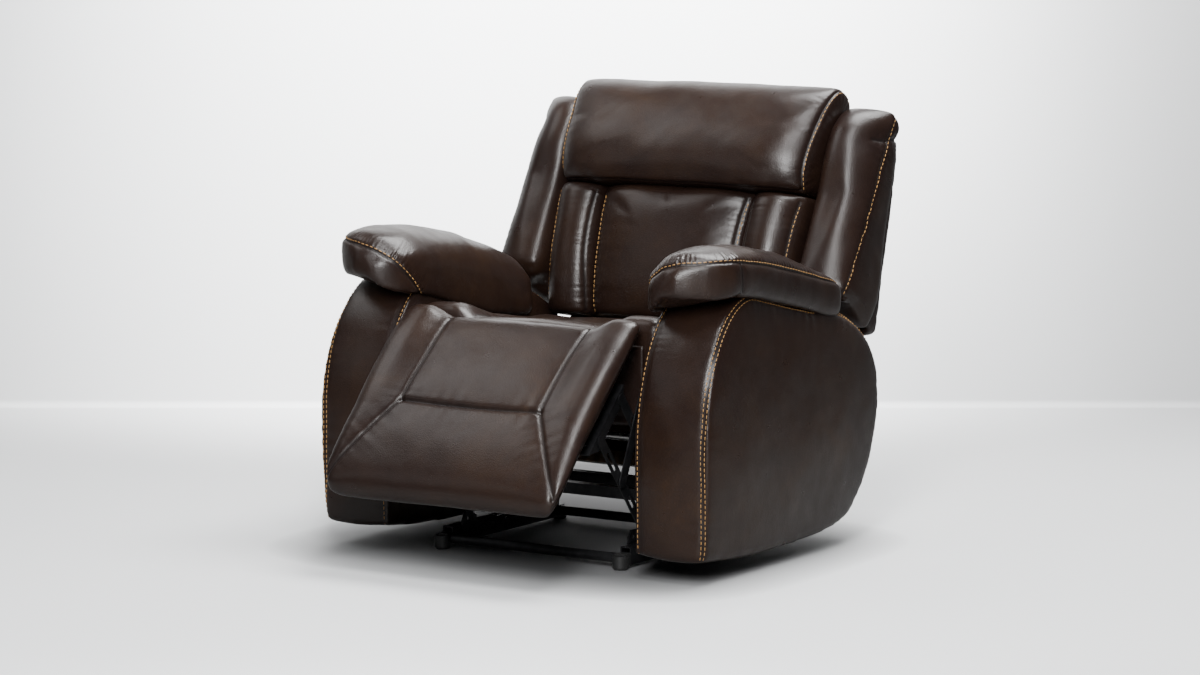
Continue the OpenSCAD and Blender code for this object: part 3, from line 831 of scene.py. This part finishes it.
def build_pad(side, word):
    stations = [0.012, 0.016, 0.022, 0.030, 0.040, 0.053] + list(np.linspace(0.07, 0.52, 16)) + [
        0.535, 0.546, 0.556, 0.564, 0.570]
    pad = soft_form("arm_pad_" + word, [loft([pad_ring(y, side) for y in stations])], 0.005, 7)
    y0 = ARM_FRONT
    front = [(0.312, 0.118, 0.546), (0.306, 0.092, 0.575), (0.316, 0.060, 0.610), (0.342, 0.036, 0.638),
             (0.372, 0.022, 0.655), (0.410, 0.016, 0.667), (0.445, 0.026, 0.672), (0.472, 0.052, 0.671),
             (0.494, 0.085, 0.669), (0.503, 0.125, 0.665), (0.503, 0.237, 0.649), (0.503, 0.362, 0.623),
             (0.502, 0.480, 0.597), (0.492, 0.555, 0.577)]
    seam = Seam([(side * x, y0 + y, z) for x, y, z in front], 0.0045, 0.0024, 0.012, 0.016,
                rows=(0.005 * side,), lean=(0, 0, 1))
    tuck = Seam([(side * 0.503, y0 + 0.125, 0.660), (side * 0.503, y0 + 0.135, 0.600)], 0.004, 0.0)
    seams = [seam, tuck]
    under = lambda p: np.clip((0.012 + arm_height(p[:, 1]) - p[:, 2]) / 0.01, 0, 1)
    puff(pad, pins(pad, [seam], 0.007, under), 3.0, 0.005)
    subdivide(pad)
    dress(pad, seams, 0.003, 0.03, 0.0009, 0.12, seed=11 + side)
    finish_soft(pad, "chassis", ["arm_pad_" + word], [seam])


for side, word in ((1, "left"), (-1, "right")):
    build_pad(side, word)

# ---------------------------------------------------------------- back


def drawn_back(local, middle, half, amount, power):
    """Sets the ends of a back cushion's face back from its middle, as stuffing does."""
    local = np.array(local, float)
    across = np.clip(np.abs(local[:, 0] - middle) / half, 0, 1)
    local[:, 1] += amount * across ** power * np.clip((0.09 - local[:, 1]) / 0.13, 0, 1)
    return local


def build_headrest():
    outline = ([(0.100, 0.366), (-0.044, 0.366)]
               + bezier((-0.060, 0.372), (-0.078, 0.430), (-0.046, 0.505), 8)
               + bezier((-0.040, 0.515), (0.000, 0.618), (0.066, 0.614), 9)
               + bezier((0.078, 0.614), (0.126, 0.604), (0.130, 0.560), 6) + [(0.128, 0.556), (0.100, 0.556)])
    piece = soft_form("headrest_pillow", [prism(outline, -0.318, 0.318)], 0.006, 12, on_back)

    def shaped(local):
        local = drawn_back(local, 0, 0.326, 0.052, 6)
        local[:, 0] *= 1 + 0.080 * (local[:, 2] - 0.366) / 0.25
        return on_back(local)

    set_coords(piece, shaped(from_back(coords(piece))))
    edge = [(-0.048, 0.369), (-0.064, 0.400), (-0.066, 0.440), (-0.052, 0.500), (-0.020, 0.560),
            (0.030, 0.600), (0.080, 0.608), (0.118, 0.587), (0.130, 0.540)]
    seams = [Seam(shaped([(s * 0.312, y, z) for y, z in edge]), 0.0045, 0.0010, 0.016, 0.018,
                  rows=(-0.005 * s,)) for s in (1, -1)]
    bottom = Seam(shaped([(x, -0.050, 0.368) for x in np.linspace(-0.31, 0.31, 13)]),
                  0.002, 0.0008, 0.05, 0.02)
    behind = lambda p: np.clip((from_back(p)[:, 1] - 0.085) / 0.01, 0, 1)
    puff(piece, pins(piece, seams + [bottom], 0.007, behind), 4.0, 0.010)
    subdivide(piece)
    dress(piece, seams + [bottom], 0.004, 0.04, 0.0012, 0.18, seed=21)
    finish_soft(piece, "back", ["headrest"], seams)


def build_lumbar(name, node, x0, x1, bulge, crown, seed, seam_sides):
    """A lumbar cushion; crown is where its crest lies, how far it reaches, how far its ends are drawn back,
    and the power of the curve that draws them."""
    outline = ([(0.098, 0.102), (0.042, 0.100), (0.000, 0.059), (-0.042, 0.059)]
               + bezier((-0.056, 0.066), (-0.084 - bulge, 0.200), (-0.050, 0.345), 10)
               + [(-0.036, 0.359), (0.098, 0.359)])
    piece = soft_form(name, [prism(outline, x0, x1)], 0.006, 12, on_back)

    def shaped(local):
        local = drawn_back(local, x0 + crown[0] * (x1 - x0), crown[1] * abs(x1 - x0), *crown[2:])
        # the panels draw in a little towards the seat
        down = np.clip((0.355 - local[:, 2]) / 0.29, 0, 1)
        local[:, 0] -= 0.011 * np.clip(local[:, 0] / 0.19, -1, 1) * down
        return on_back(local)

    set_coords(piece, shaped(from_back(coords(piece))))
    edge = [(-0.050, 0.064), (-0.064, 0.120), (-0.076 - bulge * 0.6, 0.205), (-0.068, 0.290), (-0.050, 0.345)]
    seams = [Seam(shaped([(x, y, z) for y, z in edge]), 0.003, gather, 0.014, 0.016, rows=rows)
             for x, gather, rows in seam_sides]
    behind = lambda p: np.clip((from_back(p)[:, 1] - 0.01) / 0.02, 0, 1)
    puff(piece, pins(piece, seams, 0.006, behind), 4.0, 0.007, soften=5)
    subdivide(piece)
    dress(piece, seams, 0.003, 0.035, 0.0010, 0.16, seed=seed)
    finish_soft(piece, "back", [node], seams)


def build_wing(side, word):
    """A deep upright roll that leans back to its outer seam, turned over at the top into a short cap."""
    outline = ([(0.132, 0.152), (0.100, 0.084), (0.078, 0.094), (0.016, 0.126), (-0.036, 0.144)]
               + bezier((-0.056, 0.166), (-0.030, 0.270), (-0.006, 0.370), 10)
               + bezier((-0.002, 0.400), (0.004, 0.524), (0.056, 0.558), 10)
               + bezier((0.076, 0.570), (0.140, 0.572), (0.140, 0.536), 8))
    piece = soft_form("wing_" + word, [prism(outline, side * 0.339, side * 0.462)], 0.006, 14, on_back)
    edge = [(-0.034, 0.140), (-0.012, 0.190), (0.029, 0.297), (0.052, 0.380), (0.069, 0.448), (0.090, 0.500),
            (0.104, 0.535), (0.112, 0.560)]
    local = from_back(coords(piece))
    x, y, z = local[:, 0] * side, local[:, 1].copy(), local[:, 2]
    face = np.interp(z, [0.144, 0.166, 0.270, 0.370, 0.400, 0.460, 0.500, 0.540, 0.560],
                     [-0.036, -0.056, -0.031, -0.006, -0.002, 0.004, 0.012, 0.034, 0.058])
    sewn = np.interp(z, [p[1] for p in edge], [p[0] for p in edge])
    depth = np.maximum(sewn - face, 0.001)
    share = np.clip((sewn - y) / depth, 0, 1)
    local[:, 1] += share * depth * np.clip((x - 0.372) / 0.090, 0, 1) ** 2
    local[:, 1] += share * 0.010 * np.clip((0.380 - x) / 0.042, 0, 1) ** 2
    # the cap: fuller above its gathered neck
    neck = np.exp(-((z - 0.512) / 0.014) ** 2) * np.clip((x - 0.42) / 0.03, 0, 1)
    local[:, 0] -= side * 0.008 * neck
    local[:, 2] += 0.006 * np.clip(1 - ((x - 0.403) / 0.06) ** 2, 0, 1) * np.clip((z - 0.50) / 0.05, 0, 1)
    set_coords(piece, on_back(local))
    relax(piece, 9)
    outer = Seam(on_back([(side * 0.462, y, z) for y, z in edge]), 0.004, 0.0007, 0.018, 0.016,
                 rows=(-0.004 * side,))
    neck_line = [(0.463, 0.138, 0.512), (0.466, 0.110, 0.512), (0.466, 0.082, 0.508), (0.452, 0.050, 0.508)]
    cap = Seam(on_back([(side * x, y, z) for x, y, z in neck_line]), 0.004, 0.0016, 0.016, 0.02)
    seams = [outer, cap]
    behind = lambda p: np.clip((from_back(p)[:, 1] - 0.10) / 0.02, 0, 1)
    puff(piece, pins(piece, [outer], 0.007, behind), 4.0, 0.006, soften=5)
    subdivide(piece)
    dress(piece, seams, 0.003, 0.04, 0.0012, 0.16, seed=31 + side)
    finish_soft(piece, "back", ["wing_" + word], [outer])


def build_shell():
    """The leather outer back, with its side panels."""
    low_hw, hw, low, foot = 0.292, 0.456, -0.266, 0.070
    top, y0, y1 = 0.546, 0.114, 0.148
    face = [(-low_hw, low), (low_hw, low), (low_hw, foot - 0.02), (low_hw + 0.02, foot)]
    face += [(hw - 0.01, foot + 0.004), (hw, foot + 0.014), (hw, 0.470)]
    face += bezier((hw, 0.480), (hw, top), (hw - 0.080, top), 8)
    face += [(-x, z) for x, z in face[:1:-1]]
    n = len(face)
    points = [(x, y0, z) for x, z in face] + [(x, y1, z) for x, z in face]
    faces = [tuple(range(n)), tuple(range(2 * n - 1, n - 1, -1))]
    faces += [(i, i + n, (i + 1) % n + n, (i + 1) % n) for i in range(n)]
    side_face = [(-0.020, 0.134), (0.006, 0.190), (0.046, 0.297), (0.068, 0.380), (0.086, 0.448),
                 (0.106, 0.496), (0.126, 0.510), (0.140, 0.510), (0.140, 0.080), (0.110, 0.090),
                 (0.080, 0.101), (0.026, 0.130)]
    solids = [(points, faces)] + [prism(side_face, s * 0.442, s * 0.457) for s in (1, -1)]
    piece = soft_form("back_shell_cover", solids, 0.006, 5, on_back)
    local = from_back(coords(piece))
    across = np.clip(1 - (local[:, 0] / 0.46) ** 2, 0, 1)
    up = np.clip(np.sin(np.clip((local[:, 2] - low) / (top - low), 0, 1) * math.pi), 0, 1)
    local[:, 1] += np.clip((local[:, 1] - 0.11) / 0.03, 0, 1) * 0.022 * across * up
    set_coords(piece, on_back(local))
    edge = [(0.446, 0.152, 0.075), (0.446, 0.154, 0.300), (0.444, 0.152, 0.480), (0.420, 0.150, 0.530)]
    seams = [Seam(on_back([(s * x, y, z) for x, y, z in edge]), 0.003, 0.0008, 0.03, 0.02, rows=(0.005 * s,))
             for s in (1, -1)]
    seams.append(Seam(on_back([(-0.41, 0.150, 0.532), (0, 0.158, 0.534), (0.41, 0.150, 0.532)]),
                      0.003, 0.0008, 0.03, 0.02, rows=(0.005,)))
    dress(piece, seams, 0.003, 0.05, 0.0012, 0.2, seed=41)
    finish_soft(piece, "back", ["back_shell"], seams)


build_headrest()
build_lumbar("lumbar_cushion", "lumbar_centre", -0.198, 0.198, 0.0, (0.5, 0.5, 0.034, 5), 22,
             ((-0.188, 0.0010, (0.004,)), (0.188, 0.0010, (-0.004,))))
for side, word in ((1, "left"), (-1, "right")):
    build_lumbar("lumbar_side_" + word, "lumbar_" + word, side * 0.200, side * 0.324, 0.004,
                 (0.42, 0.58, 0.044, 2.2), 23 + side,
                 ((side * 0.206, 0.0014, ()), (side * 0.317, 0.0008, (-0.004 * side,))))
    build_wing(side, word)
build_shell()

# ---------------------------------------------------------------- seat and footrest


def build_seat():
    """The seat, which dips to the rear, with raised corners that meet the chaise of the footrest."""
    y0, y1 = SEAT_LOW[1] + 0.004, SEAT_HIGH[1] - 0.006
    crown = ([(y1 - 0.028, 0.450), (y0, 0.450), (y0, 0.476)]
             + bezier((y0, 0.480), (y0, 0.504), (y0 + 0.036, 0.504), 6)
             + [(y0 + 0.146, 0.488), (y0 + 0.275, 0.466), (y0 + 0.387, 0.454)]
             + bezier((y0 + 0.42, 0.452), (y1 - 0.028, 0.450), (y1 - 0.028, 0.448), 4)[:-1])
    core = [(y1, 0.406), (y0, 0.406), (y0, 0.462), (y1 - 0.028, 0.462)]
    piece = soft_form("seat_pad", [prism(crown, -0.302, 0.302), prism(core, -0.276, 0.276)], 0.007, 9)
    points = coords(piece)
    across = np.clip((np.abs(points[:, 0]) - 0.158) / 0.066, 0, 1)
    across = across * across * (3 - 2 * across)
    back = np.clip(1 - (points[:, 1] - y0 - 0.03) / 0.125, 0, 1)
    back = back * back * (3 - 2 * back)
    points[:, 2] += np.clip((points[:, 2] - 0.462) / 0.03, 0, 1) * across * 0.027 * back
    set_coords(piece, points)
    relax(piece, 4)
    channel = [(0.176, y0 + 0.002, 0.480), (0.176, y0 + 0.020, 0.502), (0.178, y0 + 0.10, 0.494),
               (0.184, y0 + 0.25, 0.470), (0.190, y1 - 0.060, 0.452)]
    seams = [Seam([(s * x, y, z) for x, y, z in channel], 0.004, 0.0008, 0.024, 0.03) for s in (1, -1)]
    low = lambda p: np.clip((0.455 - p[:, 2]) / 0.02, 0, 1)
    puff(piece, pins(piece, seams, 0.008, low), 3.0, 0.012)
    dress(piece, seams, 0.006, 0.06, 0.0010, 0.16, seed=51)
    finish_soft(piece, "seat", ["seat_cushion"], [])
    low_corner, high_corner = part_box("seat_apron")
    sheet = [(low_corner[1] + 0.001, low_corner[2]), (high_corner[1] - 0.001, low_corner[2]),
             (high_corner[1] - 0.001, high_corner[2]), (low_corner[1] + 0.001, high_corner[2])]
    apron = soft_form("seat_front_cover", [prism(sheet, low_corner[0], high_corner[0])], 0.004, 3)
    hem = Seam([(x, low_corner[1], low_corner[2] + 0.02) for x in (-0.27, 0, 0.27)], 0.001, 0.0012, 0.05, 0.1)
    dress(apron, [hem], 0.001, 0.05, 0.0012, 0.09, seed=52)
    finish_soft(apron, "seat", ["seat_apron"], [])


def build_footrest():
    """The footrest and its chaise: a crease across it, and two seams down to its corners and two up."""
    outline = ([(-0.0118, -0.210), (-0.0118, 0.200), (-0.026, 0.241)]
               + bezier((-0.030, 0.252), (-0.052, 0.260), (-0.062, 0.240), 5)
               + bezier((-0.066, 0.230), (-0.085, 0.125), (-0.086, 0.0), 10)
               + bezier((-0.086, -0.010), (-0.084, -0.120), (-0.060, -0.194), 10)
               + bezier((-0.056, -0.202), (-0.048, -0.216), (-0.030, -0.216), 4))
    piece = soft_form("footrest_cushion", [prism(outline, -0.299, 0.299)], 0.006, 12, on_foot)
    local = from_foot(coords(piece))
    edge = np.clip((np.abs(local[:, 0]) - 0.185) / 0.06, 0, 1)
    edge = edge * edge * (3 - 2 * edge)
    front = np.clip((-0.03 - local[:, 1]) / 0.02, 0, 1)
    upper = np.clip((local[:, 2] + 0.02) / 0.16, 0, 1)
    # the side rolls stand higher towards the seat, and the outer edges round off behind
    local[:, 1] -= front * edge * upper * 0.012
    local[:, 2] += edge * upper * np.clip((local[:, 2] - 0.14) / 0.09, 0, 1) * 0.016
    rim = np.clip((np.abs(local[:, 0]) - 0.258) / 0.042, 0, 1)
    local[:, 1] += 0.014 * rim ** 2 * np.clip((-0.030 - local[:, 1]) / 0.02, 0, 1)
    local[:, 0] *= 1 - 0.14 * np.clip((local[:, 1] + 0.060) / 0.048, 0, 1)
    local[:, 0] *= 1 + 0.025 * np.clip((-0.05 - local[:, 2]) / 0.14, 0, 1)
    set_coords(piece, on_foot(local))
    faced, depths = [-0.21, -0.12, 0, 0.12, 0.23], [-0.058, -0.078, -0.087, -0.079, -0.060]
    line = lambda pts: on_foot([(x, float(np.interp(s, faced, depths)), s) for x, s in pts])
    crease = Seam(line([(-0.176, 0.0), (-0.09, -0.004), (0, -0.005), (0.09, -0.004), (0.176, 0.0)]),
                  0.0065, 0.0008, 0.03, 0.02)
    seams = [crease]
    for s in (1, -1):
        for run in (((0.176, 0.0), (0.205, -0.05), (0.245, -0.12), (0.292, -0.200)),
                    ((0.176, 0.0), (0.1755, 0.06), (0.175, 0.125), (0.177, 0.236))):
            seams.append(Seam(line([(s * x, up) for x, up in run]), 0.0040, 0.0006, 0.03, 0.025))
    rim_line = [(-0.044, 0.228), (-0.056, 0.120), (-0.060, 0.0), (-0.050, -0.120), (-0.036, -0.208)]
    edges = [Seam(on_foot([(s * 0.298, y, z) for y, z in rim_line]), 0.002, 0.0006, 0.025, 0.012)
             for s in (1, -1)]
    behind = lambda p: np.clip((from_foot(p)[:, 1] + 0.036) / 0.008, 0, 1)
    puff(piece, pins(piece, seams + edges, 0.007, behind), 4.0, 0.007, soften=24)
    subdivide(piece)
    dress(piece, seams + edges, 0.004, 0.030, 0.0010, 0.18, seed=61)
    finish_soft(piece, "footrest", ["footrest_pad", "footrest_board"], [])


build_seat()
build_footrest()

# ---------------------------------------------------------------- metal, timber and plastic


def repaint(names, material):
    for name in names:
        node = frame["nodes"][name]
        node.data.materials.clear()
        node.data.materials.append(material)


BLACK_STEEL = metal_material("black_powder_coat", (0.010, 0.010, 0.011), (0.024, 0.024, 0.026),
                             0.30, 0.46, 0.6, 900)
BRIGHT_STEEL = metal_material("zinc_plate", (0.50, 0.50, 0.50), (0.72, 0.72, 0.70), 0.22, 0.40, 1.0, 500)
PLASTIC = metal_material("black_plastic", (0.010, 0.010, 0.010), (0.018, 0.018, 0.018), 0.42, 0.58, 0.0, 700)
TIMBER = wood_material()
by_slot = {"black_steel": BLACK_STEEL, "zinc_steel": BRIGHT_STEEL, "plastic": PLASTIC, "timber": TIMBER}
for entry in frame["record"]["subparts"]:
    if entry["material_slot"] in by_slot:
        repaint([entry["node"]], by_slot[entry["material_slot"]])



def build_rocker_spring(node):
    """A coil of wire in place of the frame's spring between the base and the chassis."""
    low, high = (np.array(c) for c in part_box(node))
    wire, turns, sides = 0.0020, 7, 8
    middle = (low + high) / 2
    coil = (high[0] - low[0]) / 2 - wire
    angle = np.linspace(0, 2 * math.pi * turns, turns * 28 + 1)
    height = np.linspace(low[2] + wire, high[2] - wire, len(angle))
    rings = []
    for a, z in zip(angle, height):
        out = np.array([math.cos(a), math.sin(a), 0])
        around = np.linspace(0, 2 * math.pi, sides + 1)[:-1]
        rings.append([np.array([middle[0], middle[1], z]) + out * (coil + wire * math.cos(b))
                      + np.array([0, 0, wire * math.sin(b)]) for b in around])
    spring = mesh_object(node + "_coil", *loft(rings))
    face_outwards(spring)
    smooth(spring)
    spring.data.materials.append(BRIGHT_STEEL)
    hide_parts(node)
    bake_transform(spring)


for place in ("front_left", "rear_left", "front_right", "rear_right"):
    build_rocker_spring("rocker_spring_" + place)
